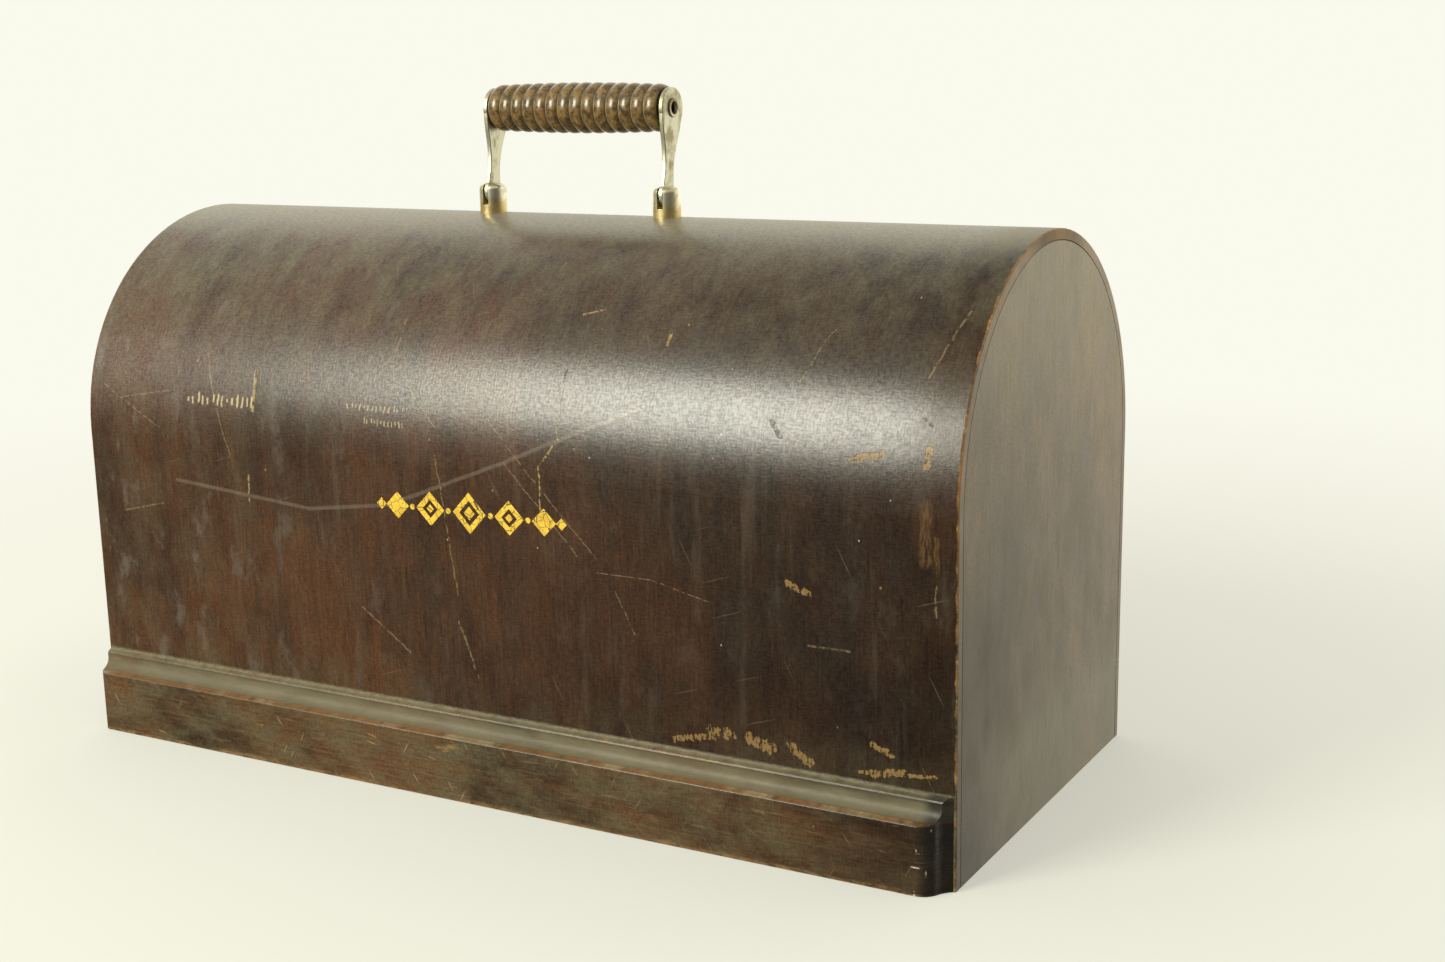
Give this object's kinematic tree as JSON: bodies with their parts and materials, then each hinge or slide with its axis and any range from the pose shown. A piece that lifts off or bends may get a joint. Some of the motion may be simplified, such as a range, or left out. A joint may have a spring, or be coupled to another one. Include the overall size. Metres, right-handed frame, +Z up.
{
  "type": "sewing machine case cover",
  "caption": "Dome-top bentwood cover for a portable sewing machine's carrying case, with a folding carry handle on its ridge and an end lock inside.",
  "frame": {"origin": "middle of the footprint, on the surface that the rim stands on", "axes": "+X along the length towards the plain end, +Y from the front with the rail to the back, +Z up"},
  "size_m": [0.442, 0.207, 0.303],
  "materials": {
    "aged_varnished_wood": "aged dark red-brown varnish, semi-gloss, scratched",
    "bare_wood": "unvarnished, dusty",
    "grip_wood": "turned, polished, mottled brown",
    "nickel_plate": "satin nickel plate, worn",
    "worn_nickel_on_brass": "nickel plate worn through to brass",
    "brass": "tarnished",
    "lock_steel": "dull, lightly rusted",
    "screw_steel": "dull"
  },
  "bodies": {
    "cover": {"bent_shell": "aged_varnished_wood", "catch_plate": "lock_steel", "catch_screws": "screw_steel", "escutcheon_pins": "brass", "front_rail": "aged_varnished_wood", "front_sill": "bare_wood", "left_arch_blocks": "bare_wood", "left_cleat_screws": "screw_steel", "left_end_panel": "aged_varnished_wood", "left_front_cleat": "bare_wood", "left_front_corner_block": "bare_wood", "left_handle_post": "worn_nickel_on_brass", "left_pivot_pin": "nickel_plate", "left_post_nut": "screw_steel", "left_post_washer": "screw_steel", "left_rear_cleat": "bare_wood", "left_rear_corner_block": "bare_wood", "lock_case": "lock_steel", "lock_escutcheon": "brass", "lock_plate": "lock_steel", "lock_screws": "screw_steel", "lock_spring": "lock_steel", "lock_studs": "lock_steel", "rail_screws": "screw_steel", "rear_sill": "bare_wood", "ridge_board": "bare_wood", "right_arch_blocks": "bare_wood", "right_cleat_screws": "screw_steel", "right_end_panel": "aged_varnished_wood", "right_front_cleat": "bare_wood", "right_front_corner_block": "bare_wood", "right_handle_post": "worn_nickel_on_brass", "right_pivot_pin": "nickel_plate", "right_post_nut": "screw_steel", "right_post_washer": "screw_steel", "right_rear_cleat": "bare_wood", "right_rear_corner_block": "bare_wood"},
    "handle": {"left_handle_arm": "nickel_plate", "right_handle_arm": "nickel_plate", "grip_rod": "nickel_plate"},
    "grip": {"grip": "grip_wood"},
    "lock_cam": {"lock_cam": "lock_steel"},
    "lock_bolt": {"lock_bolt": "lock_steel"}
  },
  "joints": [
    {"name": "handle_fold", "type": "hinge", "parent": "cover", "child": "handle", "pos_m": [-0.0056, 0.005, 0.2541], "axis": [1, 0, 0], "range_deg": [-88, 104]},
    {"name": "grip_spin", "type": "hinge", "parent": "handle", "child": "grip", "pos_m": [-0.0056, 0.01027, 0.29163], "axis": [1, 0, 0], "continuous": true},
    {"name": "key_turn", "type": "hinge", "parent": "cover", "child": "lock_cam", "pos_m": [-0.2045, 0.005, 0.03], "axis": [-1, 0, 0], "range_deg": [0, 90]},
    {"name": "bolt_slide", "type": "slide", "parent": "cover", "child": "lock_bolt", "axis": [0, 1, 0], "range_m": [0, 0.0066]}
  ],
  "couplings": [
    {"joint": "bolt_slide", "follows": "key_turn", "m_per_rad": 0.0041415}
  ]
}
